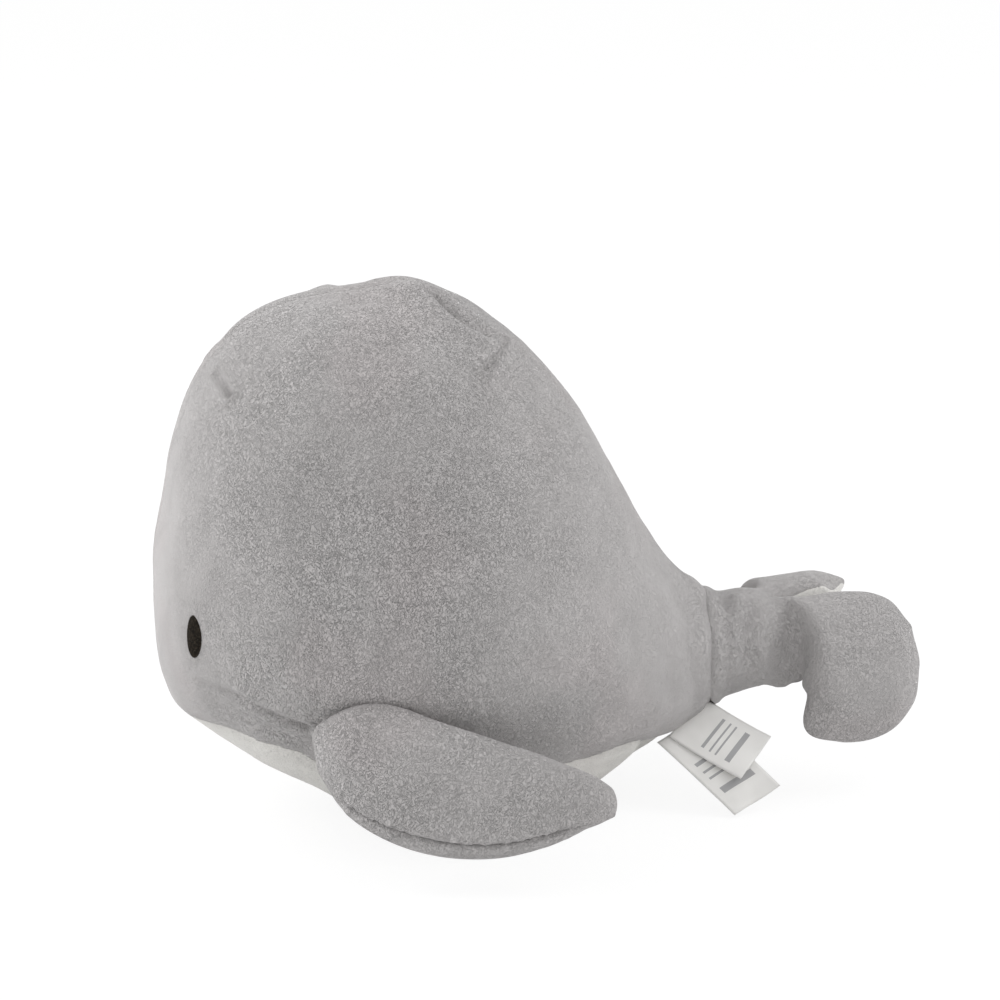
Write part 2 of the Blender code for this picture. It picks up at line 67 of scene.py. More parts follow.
# The part's sizes, in metres
BODY_LENGTH = 0.2390
BODY_HEIGHT = 0.2240
BODY_WIDTH = 0.1900
TAIL_LENGTH = 0.0930
CLOTH = 0.0020
NOSE_LEVEL_SHARE = 0.415
BELLY_SEAM_END = math.radians(148)
UPPER_SQUARENESS = 2.0
LOWER_SQUARENESS = 2.4
SIDE_CELLS = 7
BELLY_CELLS = 2
CHIN_SECTION = 1
WELD = 0.00001

BODY_SECTION_SHARES = (
    (0.012, 0.390, 0.600, 0.425, 0.262, 1.00),
    (0.060, 0.590, 0.785, 0.440, 0.185, 1.00),
    (0.145, 0.785, 0.935, 0.450, 0.118, 0.79),
    (0.255, 0.920, 0.995, 0.455, 0.055, 0.765),
    (0.385, 0.990, 1.015, 0.450, -0.0080, 0.77),
    (0.520, 1.005, 1.002, 0.440, -0.0030, 0.76),
    (0.650, 0.940, 0.917, 0.420, -0.0040, 0.76),
    (0.765, 0.785, 0.772, 0.380, 0.020, 0.77),
    (0.860, 0.580, 0.565, 0.325, 0.075, 0.79),
    (0.940, 0.380, 0.423, 0.285, 0.130, 0.81),
)

TAIL_BALL_RADIUS = 0.0232
TAIL_LIP_CLEARANCE = 0.0010
TAIL_SEAM_HEIGHT = 0.0610
TAIL_ROOT_DEPTH = 0.0045
TAIL_STOCK_RADIUS = 0.0213
TAIL_NECK_ANGLE = math.radians(25)
TAIL_SEAM_DROP = math.radians(52)
TAIL_NOTCH_REACH = 0.0350
TAIL_RIDGE_RISE = 0.0110
TAIL_LOBE_LENGTH = 0.0720
TAIL_LOBE_SWELL = 0.0148
TAIL_PITCH = math.radians(8)
TAIL_ROLL = math.radians(5)
TAIL_YAW = math.radians(18)
TAIL_DROOP = math.radians(108)
TAIL_SWUNG_REACH_SHARE = 1.03
TAIL_CELLS = 4
TAIL_LOBE_SHARES = (
    (0.430, 0.085, 0.375, 0.460, 0.95, 0.8),
    (0.590, 0.095, 0.290, 0.820, 1.00, 1.0),
    (0.785, 0.160, 0.350, 1.060, 1.00, 1.0),
    (0.910, 0.330, 0.640, 1.080, 0.80, 1.0),
    (0.950, 0.520, 0.850, 0.930, 0.00, 1.0),
)

FLIPPER_LENGTH = 0.1250
FLIPPER_CHORD = 0.0680
FLIPPER_ROOT_LENGTH = 0.0560
FLIPPER_SLOPE = math.radians(68)
FLIPPER_YAW = math.radians(8)
FLIPPER_RISE = math.radians(3)
FLIPPER_OUTER_SWELL = 0.0120
FLIPPER_INNER_SWELL = 0.0090
FLIPPER_SEAM_ANGLE = math.radians(42)
FLIPPER_CELLS = 5
FLIPPER_SECTION_SHARES = (
    (0.008, 0.150, 0.024, 0.350, 0.00),
    (0.080, 0.045, 0.096, 0.650, 0.75),
    (0.200, 0.000, 0.208, 0.825, 1.00),
    (0.360, 0.050, 0.376, 0.955, 1.00),
    (0.544, 0.185, 0.560, 1.000, 1.00),
    (0.736, 0.325, 0.752, 0.940, 0.85),
    (0.890, 0.440, 0.905, 0.825, 0.55),
    (0.976, 0.600, 0.992, 0.720, 0.00),
)

EYE_WIDTH = 0.0088
EYE_HEIGHT = 0.0185
EYE_THICKNESS = 0.0016

LABEL_WIDTH = 0.0250
LABEL_THICKNESS = 0.0004
LABEL_LENGTH = 0.0450
LABEL_SHORTER_BY = 0.0100
LABEL_GAP = 0.0003
LABEL_RUN_DIRECTION_SHARES = (0.55, -0.61, -0.56)

NOSE_X = -(BODY_LENGTH + TAIL_LENGTH * TAIL_SWUNG_REACH_SHARE) / 2
TAIL_SEAM_X = NOSE_X + BODY_LENGTH
TAIL_CENTRE = Vector((TAIL_SEAM_X, 0, TAIL_SEAM_HEIGHT))
LIP_RADIUS = TAIL_BALL_RADIUS + TAIL_LIP_CLEARANCE + CLOTH

# The camera, as the photograph was taken
CAMERA_AZIMUTH = math.radians(-8)
CAMERA_ELEVATION = math.radians(15)
CAMERA_DISTANCE = 1.5
CAMERA_TARGET = Vector((NOSE_X + 0.149, 0.0, 0.130))
PIXELS_PER_METRE = 2350
SENSOR = 36.0
FRAME_PIXELS = 1000

# Where the cloth is drawn from its even form, in points of the frame: the place, the reach in
# metres and how far right and up it is drawn, in frame points
BODY_PULLS = (
    (186, 385, 0.030, -2, 3),
    (157, 490, 0.028, 5, 0),
    (235, 765, 0.030, 6, 3),
    (305, 790, 0.026, 2, 6),
    (305, 286, 0.045, 0, -7),
    (349, 281, 0.011, 0, -5),
    (325, 284, 0.009, 0, 2),
    (402, 278, 0.020, 0, 4),
    (500, 330, 0.020, -1, -4),
    (645, 546, 0.020, -2, -8),
    (708, 590, 0.014, 0, 7),
    (642, 765, 0.022, 0, 11),
)
TAIL_PULLS = (
    (790, 566, 0.030, 0, -5),
    (924, 622, 0.018, -8, -2),
    (905, 718, 0.022, 5, -9),
    (862, 735, 0.024, 0, -8),
    (815, 730, 0.014, -9, -5),
    (802, 672, 0.010, -4, -8),
    (790, 670, 0.014, 0, -15),
    (801, 671, 0.009, 0, -9),
    (905, 606, 0.016, -2, -2),
    (838, 576, 0.016, -3, -15),
    (843, 573, 0.008, 0, -3),
)
FLIPPER_PULLS = (
    (380, 708, 0.024, 0, 6),
    (601, 790, 0.016, 5, 3),
    (616, 797, 0.009, 5, -2),
    (605, 818, 0.011, 2, -3),
)

# Where gray cloth ends and white cloth begins on the body's left side, in points of the frame
GRAY_EDGE = (
    (140, 690), (182, 699), (221, 715), (257, 741), (294, 751), (313, 763),
    (350, 776), (560, 763), (608, 755), (640, 742), (655, 738), (740, 730),
)
GRAY_EDGE_REACH = 0.013
REAR_WHITE_END = 642
FAR_FLUKE_EDGE = ((760, 602), (782, 597), (799, 592), (833, 583), (850, 585))
FAR_FLUKE_EDGE_REACH = 0.014

# The top and the foot of the embroidered eye, in points of the frame
EYE_SEEN = ((193.4, 615.5), (194.0, 657.5))

# The middle of the near fluke's root and the far fluke's tip, where the form is smoothed
FLUKE_ROOT = (800, 628)
FAR_FLUKE_TIP = (834, 581)

# Creases: the sides that have them, the course in points of the frame, then depth, width,
# shoulder, and the strength at the course's start and end
BOTH = (1, -1)
NEAR = (1,)
BODY_CREASES = (
    (BOTH, ((216, 372), (222, 381), (230, 394)), 0.0026, 0.0015, 0.5, 0.35, 0.9),
    (
        BOTH, ((505, 339), (503, 345), (497, 354), (491, 360), (490, 366), (484, 371)),
        0.0040, 0.0014, 0.30, 0.35, 1.0,
    ),
    (BOTH, ((222, 700), (254, 720), (280, 733), (302, 742)), 0.0020, 0.0060, 0.0, 0.4, 1.0),
    (
        BOTH, ((202, 682), (216, 688), (234, 694), (262, 708), (285, 719), (305, 727)),
        0.0036, 0.0019, 0.35, 0.20, 1.0,
    ),
    (NEAR, ((437, 296), (448, 308), (463, 321), (484, 331)), 0.0068, 0.0046, 0.15, 0.9, 0.5),
    (NEAR, ((655, 600), (668, 650), (672, 700)), 0.0010, 0.0050, 0.4, 0.4, 1.0),
    (NEAR, ((683, 610), (692, 655), (695, 700)), 0.0010, 0.0050, 0.4, 0.4, 1.0),
)
STOCK_CREASES = (
    (((737, 600), (733, 630), (737, 672)), 0.0018, 0.0036, 0.4, 0.9, 0.5),
    (((761, 603), (757, 640), (764, 676)), 0.0014, 0.0036, 0.4, 0.6, 1.0),
)

# The soft fold on the crown, in points of the frame
CROWN_RIDGE = ((400, 283), (425, 297), (440, 312), (462, 330), (485, 345))

# How thick each cloth is made, how deep an eye's edge sinks in it, and how high a label waves
BODY_CLOTH = 0.0012
LIMB_CLOTH = 0.0009
EYE_BACKING = 0.0003
EYE_SINK = 0.0001
RIBBON_THICKNESS = 0.00025
LABEL_WAVE = 0.0006

# How far from a seam its cloth is thinned, and from a seam's end its puckers fade
THIN_REACH = 0.004
CALM_REACH = 0.014

# How much further than the nearest point a point may lie from the ray that pulls it
PULL_TOLERANCE = 0.0012

# The tail: how far gray cloth wraps round its edge, where across it the far fluke starts, and
# how near to the body's lip its sunk ring lies. The flippers: how high their stitched seam lies
# at least
GRAY_WRAP = 0.0100
FAR_FLUKE_START = 0.006
INSIDE_LIP_REACH = 0.0006
STITCHED_SEAM_RISE = 0.0022

# How finely the skins, the eyes and the labels are made
FULL_LEVELS = 5
LEVELS = FULL_LEVELS
RELAX_ROUNDS = 80 // 4 ** (FULL_LEVELS - LEVELS)
ROWS_PER_STITCH = 4
EYE_ROWS = 48 * ROWS_PER_STITCH
EYE_COLUMNS = 32
LABEL_ROWS = 40
LABEL_COLUMNS = 20

# The sign of each side's Y and its word, and the numbers of the panels of the body and of the limbs
SIDES = ((-1, "left"), (1, "right"))
LEFT, RIGHT, BELLY = 0, 1, 2
UPPER, LOWER = 0, 1

# The plain bars across a label: the middle and half the width of each, as shares of its length
LABEL_BAR_SHARES = ((0.40, 0.020), (0.50, 0.012), (0.58, 0.012), (0.74, 0.035))
LABEL_BAR_REACH_SHARE = 0.34


# Camera

def camera_back():
    return Vector(
        (
            math.sin(CAMERA_AZIMUTH) * math.cos(CAMERA_ELEVATION),
            -math.cos(CAMERA_AZIMUTH) * math.cos(CAMERA_ELEVATION),
            math.sin(CAMERA_ELEVATION),
        )
    )


def make_camera():
    data = bpy.data.cameras.new("camera")
    data.sensor_width = SENSOR
    data.lens = SENSOR * CAMERA_DISTANCE * PIXELS_PER_METRE / FRAME_PIXELS
    camera = bpy.data.objects.new("camera", data)
    bpy.context.scene.collection.objects.link(camera)
    camera.location = CAMERA_TARGET + camera_back() * CAMERA_DISTANCE
    camera.rotation_euler = camera_back().to_track_quat("Z", "Y").to_euler()
    bpy.context.scene.camera = camera
    bpy.context.view_layer.update()
    return camera


def pixel_ray(camera, x, y):
    """The start and direction of the camera's ray through a point of the 1000 pixel frame."""
    across = (x / FRAME_PIXELS - 0.5) * SENSOR / camera.data.lens
    up = (0.5 - y / FRAME_PIXELS) * SENSOR / camera.data.lens
    turn = camera.matrix_world.to_3x3()
    return camera.matrix_world.translation, (turn @ Vector((across, up, -1))).normalized()


def framed(camera, points):
    """Where the camera sees points, across and down its frame."""
    turn = np.array(camera.matrix_world.to_3x3())
    local = (points - np.array(camera.matrix_world.translation)) @ turn
    scale = camera.data.lens / SENSOR * FRAME_PIXELS
    across = FRAME_PIXELS / 2 - local[:, 0] / local[:, 2] * scale
    down = FRAME_PIXELS / 2 + local[:, 1] / local[:, 2] * scale
    return across, down


def seen_line(camera, surface, pixels, steps=8):
    """The line on a surface that the camera sees through a list of frame points."""
    found = []
    for (x0, y0), (x1, y1) in zip(pixels, pixels[1:]):
        for step in range(steps + 1):
            share = step / steps
            start, ray = pixel_ray(camera, x0 + (x1 - x0) * share, y0 + (y1 - y0) * share)
            hit = surface.ray_cast(start, ray)[0]
            if hit and not (found and (found[-1] - hit).length < WELD):
                found.append(hit)
    return np.array(found)


def seen_point(camera, surface, pixel):
    """The point of a surface that the camera sees at a frame point."""
    return np.array(surface.ray_cast(*pixel_ray(camera, *pixel))[0])


def pulled(points, camera, pulls, mirror=False):
    """The points after each pull has drawn those near its place, most at the middle.

    A mirrored pull holds the point nearest to the camera's ray, and one that isn't holds, of
    the points almost as near to it, the one that is nearest to the camera. Near the middle
    plane the two sides of a mirrored pull share its work.
    """
    turn = np.array(camera.matrix_world.to_3x3())
    points = points.copy()
    for x, y, reach, right, up in pulls:
        start, ray = (np.array(part) for part in pixel_ray(camera, x, y))
        along = (points - start) @ ray
        off = np.linalg.norm(points - start - along[:, None] * ray, axis=1)
        near = np.flatnonzero(off <= off.min() + (0 if mirror else PULL_TOLERANCE))
        middle = points[near[along[near].argmin()]]
        shift = (turn[:, 0] * right + turn[:, 1] * up) / PIXELS_PER_METRE
        for flip in (1, -1) if mirror else (1,):
            gap = np.linalg.norm(points - middle * (1, flip, 1), axis=1) / reach
            weight = np.clip(1 - gap**2, 0, 1) ** 2
            share = 0.5 if mirror and abs(middle[1]) < reach / 3 else 1.0
            points += weight[:, None] * shift * (1, flip, 1) * share
    return points


# Cages, as the part makes them

def ease_of(step):
    return 3 / (2 + math.cos(step))


def flipped(grid):
    return [row[::-1] for row in grid]


def body_sections():
    sections = []
    for back, width, top, level, bottom, seam in BODY_SECTION_SHARES:
        x = NOSE_X + back * BODY_LENGTH
        heights = (top * BODY_HEIGHT, level * BODY_HEIGHT, bottom * BODY_HEIGHT)
        sections.append((x, width * BODY_WIDTH / 2, *heights, seam * math.pi))
    heights = (TAIL_SEAM_HEIGHT + LIP_RADIUS, TAIL_SEAM_HEIGHT, TAIL_SEAM_HEIGHT - LIP_RADIUS)
    sections.append((TAIL_SEAM_X, LIP_RADIUS, *heights, BELLY_SEAM_END))
    return sections


def section_point(section, angle, side, ease=1.0):
    x, half_width, top, level, bottom, _ = section
    across, along = max(math.sin(angle), 0.0), math.cos(angle)
    if along >= 0:
        power, reach = 2 / UPPER_SQUARENESS, top - level
    else:
        power, reach = 2 / LOWER_SQUARENESS, bottom - level
    y = side * ease * half_width * across**power
    return Vector((x, y, level + ease * reach * abs(along) ** power))


def side_panel_grid(side):
    pole = Vector((NOSE_X, 0, NOSE_LEVEL_SHARE * BODY_HEIGHT))
    rows = [[pole.copy() for _ in range(SIDE_CELLS + 1)]]
    for section in body_sections():
        step = section[-1] / SIDE_CELLS
        row = []
        for cell in range(SIDE_CELLS + 1):
            on_belly_seam = cell == SIDE_CELLS
            row.append(section_point(section, step * cell, side, 1.0 if on_belly_seam else ease_of(step)))
        row[0].y = 0
        rows.append(row)
    return rows


def belly_grid():
    sections = body_sections()
    chin = section_point(sections[CHIN_SECTION], math.pi, 0)
    rows = [[chin.copy() for _ in range(2 * BELLY_CELLS + 1)]]
    for section in sections[CHIN_SECTION + 1 :]:
        start = section[-1]
        step = (math.pi - start) / BELLY_CELLS
        row = []
        for cell in range(-BELLY_CELLS, BELLY_CELLS + 1):
            on_seam = abs(cell) == BELLY_CELLS
            ease = 1.0 if on_seam else ease_of(step)
            row.append(section_point(section, math.pi - step * abs(cell), 1 if cell > 0 else -1, ease))
        rows.append(row)
    return rows


def arc_point(inner, outer, swell, angle):
    place = inner.lerp(outer, (1 + math.cos(angle)) / 2)
    return Vector((place.x, place.y, swell * math.sin(angle)))


def bent(point, droop):
    if not droop:
        return point
    radius = TAIL_LOBE_LENGTH / (droop * TAIL_DROOP)
    angle = point.y / radius
    reach = radius + point.z
    height = reach * math.cos(angle) - radius + droop * TAIL_RIDGE_RISE
    return Vector((point.x, reach * math.sin(angle), height))


def turned_aside(point):
    neck = Vector((TAIL_BALL_RADIUS * math.sin(TAIL_NECK_ANGLE), 0, 0))
    share = min(max((point.x - neck.x) / (TAIL_NOTCH_REACH - neck.x), 0), 1)
    return neck + Matrix.Rotation(share * TAIL_YAW, 3, "Z") @ (point - neck)


def tail_half_grid(face, side):
    top = face * math.pi / 2
    ball = TAIL_BALL_RADIUS
    neck_x = ball * math.sin(TAIL_NECK_ANGLE)
    stock = (
        (-TAIL_ROOT_DEPTH, math.sqrt(ball**2 - TAIL_ROOT_DEPTH**2)),
        (neck_x, ball * math.cos(TAIL_NECK_ANGLE)),
        ((neck_x + TAIL_NOTCH_REACH) / 2, TAIL_STOCK_RADIUS),
    )
    grid = []
    for x, radius in stock:
        seam = -TAIL_SEAM_DROP
        step = (top - seam) / TAIL_CELLS
        row = []
        for cell in range(TAIL_CELLS + 1):
            angle = top - step * cell
            reach = radius * ease_of(step)
            row.append(Vector((x, reach * math.cos(angle), reach * math.sin(angle))))
        grid.append(row)
    seam = TAIL_SEAM_DROP / 2
    row = []
    for cell in range(TAIL_CELLS + 1):
        share = cell / TAIL_CELLS
        swell = face * TAIL_LOBE_SWELL * math.sin(math.pi * share)
        rise = TAIL_RIDGE_RISE * (1 - share) - TAIL_STOCK_RADIUS * math.sin(seam) * share
        row.append(Vector((TAIL_NOTCH_REACH, TAIL_STOCK_RADIUS * math.cos(seam) * share, swell + rise)))
    grid.append(row)
    for inner_x, inner_y, outer_x, outer_y, swell, droop in TAIL_LOBE_SHARES:
        inner = Vector((inner_x * TAIL_LENGTH, inner_y * TAIL_LOBE_LENGTH))
        outer = Vector((outer_x * TAIL_LENGTH, outer_y * TAIL_LOBE_LENGTH))
        row = []
        for cell in range(TAIL_CELLS + 1):
            angle = math.pi * (1 - cell / TAIL_CELLS)
            point = arc_point(inner, outer, face * swell * TAIL_LOBE_SWELL, angle)
            row.append(bent(point, droop))
        grid.append(row)
    grid = [[turned_aside(Vector((point.x, side * point.y, point.z))) for point in row] for row in grid]
    return flipped(grid) if side * face < 0 else grid


def tail_frame():
    return Matrix.Translation(TAIL_CENTRE) @ Euler((TAIL_ROLL, -TAIL_PITCH, 0)).to_matrix().to_4x4()


def flipper_grid(face, side):
    half = FLIPPER_ROOT_LENGTH / 2
    start, end = face * math.pi, FLIPPER_SEAM_ANGLE
    grid = []
    for upper_x, upper_y, lower_x, lower_y, swell in FLIPPER_SECTION_SHARES:
        upper = Vector((upper_x * FLIPPER_LENGTH - half, -upper_y * FLIPPER_CHORD))
        lower = Vector((lower_x * FLIPPER_LENGTH - half, -lower_y * FLIPPER_CHORD))
        row = []
        for cell in range(FLIPPER_CELLS + 1):
            angle = start + (end - start) * cell / FLIPPER_CELLS
            depth = FLIPPER_OUTER_SWELL if angle > 0 else FLIPPER_INNER_SWELL
            if swell:
                point = arc_point(upper, lower, swell * depth, angle)
            else:
                point = upper.lerp(lower, cell / FLIPPER_CELLS).to_3d()
            row.append(point)
        grid.append(row)
    placed = [[Vector((point.x, point.y, -side * point.z)) for point in row] for row in grid]
    return placed if side * face < 0 else flipped(placed)


def flipper_axes(side):
    root = Vector((math.cos(FLIPPER_YAW), side * math.sin(FLIPPER_YAW), math.sin(FLIPPER_RISE)))
    root.normalize()
    down = Vector((0, side * math.cos(FLIPPER_SLOPE), -math.sin(FLIPPER_SLOPE)))
    up = -(down - down.dot(root) * root).normalized()
    return root, up, side * up.cross(root)


def flipper_frame(side):
    joint = joints["flipper_left_lift" if side < 0 else "flipper_right_lift"]
    root, up, outward = flipper_axes(side)
    place = Matrix.Translation(Vector(joint["pos_m"]))
    return place @ Matrix((root, up, -side * outward)).transposed().to_4x4()


# Meshes

def new_object(name, mesh):
    obj = bpy.data.objects.new(name, mesh)
    bpy.context.scene.collection.objects.link(obj)
    return obj


def object_from(bm, name):
    mesh = bpy.data.meshes.new(name)
    bm.to_mesh(mesh)
    bm.free()
    return new_object(name, mesh)


def add_faces(bm, rows, index=0):
    """Joins rows of vertices with four-sided faces, all with the number of their panel."""
    for row, following in zip(rows, rows[1:]):
        for cell in range(len(row) - 1):
            face = bm.faces.new((row[cell], row[cell + 1], following[cell + 1], following[cell]))
            face.material_index = index


def finished(obj):
    """The object with its modifiers applied."""
    graph = bpy.context.evaluated_depsgraph_get()
    mesh = bpy.data.meshes.new_from_object(obj.evaluated_get(graph))
    mesh.name = obj.name
    obj.modifiers.clear()
    obj.data = mesh
    return obj


def stuffed_form(name, panels, sharpness, place=None, sharp_points=()):
    """One smooth form from the grids of its panels, each face numbered by its panel.

    How long the edges between two panels stay sharp as the form is smoothed is given by a
    function of the panels' numbers, the edge's middle and whether it lies at the end of a grid.
    """
    bm = bmesh.new()
    ends = []
    for index, grid in panels:
        rows = [[bm.verts.new(point) for point in row] for row in grid]
        ends += [vert.co.copy() for row in (rows[0], rows[-1]) for vert in row]
        add_faces(bm, rows, index)
    bmesh.ops.remove_doubles(bm, verts=bm.verts, dist=WELD)
    crease = bm.edges.layers.float.new("crease_edge")
    for edge in bm.edges:
        numbers = {face.material_index for face in edge.link_faces}
        if len(numbers) > 1:
            at_end = all(any((vert.co - end).length < 2 * WELD for end in ends) for vert in edge.verts)
            edge[crease] = sharpness(numbers, (edge.verts[0].co + edge.verts[1].co) / 2, at_end)
    corner = bm.verts.layers.float.new("crease_vert")
    for point in sharp_points:
        nearest = min(bm.verts, key=lambda vert: (vert.co - point).length)
        nearest[corner] = 1.0
    obj = object_from(bm, name)
    for _ in {index for index, _ in panels}:
        obj.data.materials.append(None)
    smooth = obj.modifiers.new("smooth", "SUBSURF")
    smooth.levels = LEVELS
    smooth.render_levels = LEVELS
    finished(obj)
    if place:
        obj.data.transform(place)
    return obj


def rows_of(items, field):
    """A field of all vertices or faces, in a row of three numbers each."""
    rows = np.empty(len(items) * 3)
    items.foreach_get(field, rows)
    return rows.reshape(-1, 3)


def points_of(obj):
    return rows_of(obj.data.vertices, "co")


def normals_of(obj):
    obj.data.update()
    return rows_of(obj.data.vertices, "normal")


def move_points(obj, points):
    obj.data.vertices.foreach_set("co", np.ascontiguousarray(points, dtype=float).ravel())
    obj.data.update()


def seam_points(obj, keep=None):
    """The points that lie between faces of two panels, all or those that a test keeps."""
    bm = bmesh.new()
    bm.from_mesh(obj.data)
    found = []
    for edge in bm.edges:
        panels = {face.material_index for face in edge.link_faces}
        if len(panels) > 1 and (keep is None or keep(panels, edge.verts[0].co)):
            found.append(edge.verts[0].co.copy())
    bm.free()
    return np.array(found)


def panel_numbers(obj):
    """Each face's panel number and middle."""
    numbers = np.empty(len(obj.data.polygons), dtype=np.int32)
    obj.data.polygons.foreach_get("material_index", numbers)
    return numbers, rows_of(obj.data.polygons, "center")


def nearest_of(points, targets):
    """Each point's distance to the nearest of the targets, and that target."""
    tree = KDTree(len(targets))
    for index, target in enumerate(targets):
        tree.insert(target, index)
    tree.balance()
    found = [tree.find(point) for point in points]
    return np.array([each[2] for each in found]), targets[[each[1] for each in found]]


def line_distance(points, line):
    """Each point's distance to a line of points, and where along it that is, as a share of its length."""
    best = np.full(len(points), 1e9)
    share = np.zeros(len(points))
    lengths = np.linalg.norm(np.diff(line, axis=0), axis=1)
    total = max(lengths.sum(), 1e-9)
    run = 0.0
    for start, end, length in zip(line, line[1:], lengths):
        along = np.clip((points - start) @ (end - start) / max(length**2, 1e-12), 0, 1)
        gap = np.linalg.norm(points - (start + along[:, None] * (end - start)), axis=1)
        closer = gap < best
        best[closer] = gap[closer]
        share[closer] = (run + along[closer] * length) / total
        run += length
    return best, share


def soft_noise(points, scale, seed):
    """Smooth noise over the points, from -1 to 1, with features about as large as the scale."""
    offset = Vector((seed * 3.1, seed * 7.7, seed * 5.3))
    return np.array([noise.noise(Vector(point) / scale + offset) for point in points])


def lumps(obj, parts):
    """Moves points along their normals by layers of noise: (size, height, seed) each."""
    points, normals = points_of(obj), normals_of(obj)
    rise = sum(height * soft_noise(points, size, seed) for size, height, seed in parts)
    move_points(obj, points + normals * rise[:, None])


def tuck(obj, targets, depth, width, puckers, spacing, reach, ragged=0.0, calm=(), *, seed):
    """Draws the cloth in along a seam, in a groove with puckers that cross it and fade away from it.

    A ragged groove varies in depth. Near the calm places, such as the seam's ends, the groove
    and the puckers fade as well.
    """
    points, normals = points_of(obj), normals_of(obj)
    low, high = targets.min(0) - reach, targets.max(0) + reach
    near = np.flatnonzero(((points > low) & (points < high)).all(1))
    distance, target = nearest_of(points[near], targets)
    hold = distance < reach
    near, distance, target = near[hold], distance[hold], target[hold]
    fall = depth * np.exp(-((distance / width) ** 2))
    if ragged:
        fall *= 1 + ragged * soft_noise(target, spacing * 0.6, seed + 1)
    fade = np.clip(1 - distance / reach, 0, 1) ** 1.5 * np.clip(distance / width, 0.25, 1)
    fall += puckers * fade * soft_noise(target, spacing, seed)
    for place in calm:
        fall *= np.clip(np.linalg.norm(target - place, axis=1) / CALM_REACH - 0.25, 0, 1)
    points[near] -= normals[near] * fall[:, None]
    move_points(obj, points)


def crease(obj, line, depth, width, shoulder, start, end):
    """Presses a fold line into the cloth, with a raised shoulder on both sides."""
    points, normals = points_of(obj), normals_of(obj)
    distance, along = line_distance(points, line)
    strength = (start + (end - start) * along) * depth
    fall = strength * np.exp(-((distance / width) ** 2))
    fall -= strength * shoulder * np.exp(-(((distance - 2.2 * width) / (1.2 * width)) ** 2))
    move_points(obj, points - normals * fall[:, None])


def ridge(obj, line, height, width):
    """Raises a soft fold along a line."""
    points, normals = points_of(obj), normals_of(obj)
    distance, along = line_distance(points, line)
    fade = np.sin(math.pi * np.clip(0.12 + 0.76 * along, 0, 1))
    rise = height * np.exp(-((distance / width) ** 2)) * fade
    move_points(obj, points + normals * rise[:, None])


def dimpled(obj, middle, depth, reach):
    """Presses a soft dimple into the cloth."""
    points, normals = points_of(obj), normals_of(obj)
    gap = np.linalg.norm(points - np.array(middle), axis=1) / reach
    move_points(obj, points - normals * (depth * np.exp(-(gap**2)))[:, None])


def laid_flat(obj):
    """Presses what reaches below the ground flat on it."""
    points = points_of(obj)
    points[:, 2] = np.maximum(points[:, 2], 0.0)
    move_points(obj, points)


def parted(form, names):
    """The form's panels as objects of their own, by the number of each face."""
    pieces = []
    for index, name in enumerate(names):
        bm = bmesh.new()
        bm.from_mesh(form.data)
        gone = [face for face in bm.faces if face.material_index != index]
        bmesh.ops.delete(bm, geom=gone, context="FACES")
        for face in bm.faces:
            face.material_index = 0
        pieces.append(object_from(bm, name))
    bpy.data.objects.remove(form)
    return pieces


def relaxed(obj, middle, reach, rounds):
    """Smooths the form around a place, as tight cloth spans a hollow."""
    points = points_of(obj)
    ends = np.empty(len(obj.data.edges) * 2, dtype=np.int32)
    obj.data.edges.foreach_get("vertices", ends)
    count = np.bincount(ends, minlength=len(points))[:, None]
    first, second = ends.reshape(-1, 2).T
    weight = np.clip(1 - (np.linalg.norm(points - middle, axis=1) / reach) ** 2, 0, 1)[:, None]
    for _ in range(rounds):
        total = np.zeros_like(points)
        for axis in range(3):
            total[:, axis] += np.bincount(first, points[second, axis], len(points))
            total[:, axis] += np.bincount(second, points[first, axis], len(points))
        points += weight * (total / count - points)
    move_points(obj, points)


def back_cloth(obj, thickness, thin_near=None):
    """Gives the skin its cloth's thickness, inwards, next to nothing along the seams that are given."""
    shell = obj.modifiers.new("cloth", "SOLIDIFY")
    if thin_near is not None:
        gap, _ = nearest_of(points_of(obj), thin_near)
        group = obj.vertex_groups.new(name="cloth")
        for index, share in enumerate(np.clip(gap / THIN_REACH, 0.05, 1)):
            group.add([index], share, "REPLACE")
        shell.vertex_group = "cloth"
    shell.thickness = thickness
    shell.offset = -1
    finished(obj)


def surface_of(obj):
    return BVHTree.FromObject(obj, bpy.context.evaluated_depsgraph_get())


# Materials

def new_material(name):
    made = bpy.data.materials.new(name)
    made.use_nodes = True
    tree = made.node_tree
    return made, tree, tree.nodes["Principled BSDF"]


def add_node(tree, kind, **settings):
    node = tree.nodes.new(kind)
    for key, value in settings.items():
        setattr(node, key, value)
    return node


def noise_node(tree, where, scale, detail=2.0, distortion=0.0, roughness=0.5):
    node = add_node(tree, "ShaderNodeTexNoise")
    node.inputs["Scale"].default_value = scale
    node.inputs["Detail"].default_value = detail
    node.inputs["Distortion"].default_value = distortion
    node.inputs["Roughness"].default_value = roughness
    tree.links.new(where, node.inputs["Vector"])
    return node.outputs["Fac"]


def ranged(tree, value, low, high, new_low=0.0, new_high=1.0):
    node = add_node(tree, "ShaderNodeMapRange")
    node.interpolation_type = "SMOOTHSTEP"
    node.inputs["From Min"].default_value = low
    node.inputs["From Max"].default_value = high
    node.inputs["To Min"].default_value = new_low
    node.inputs["To Max"].default_value = new_high
    tree.links.new(value, node.inputs["Value"])
    return node.outputs["Result"]


def maths(tree, operation, first, second=0.0):
    node = add_node(tree, "ShaderNodeMath", operation=operation)
    for socket, value in zip(node.inputs, (first, second)):
        if isinstance(value, (int, float)):
            socket.default_value = value
        else:
            tree.links.new(value, socket)
    return node.outputs[0]


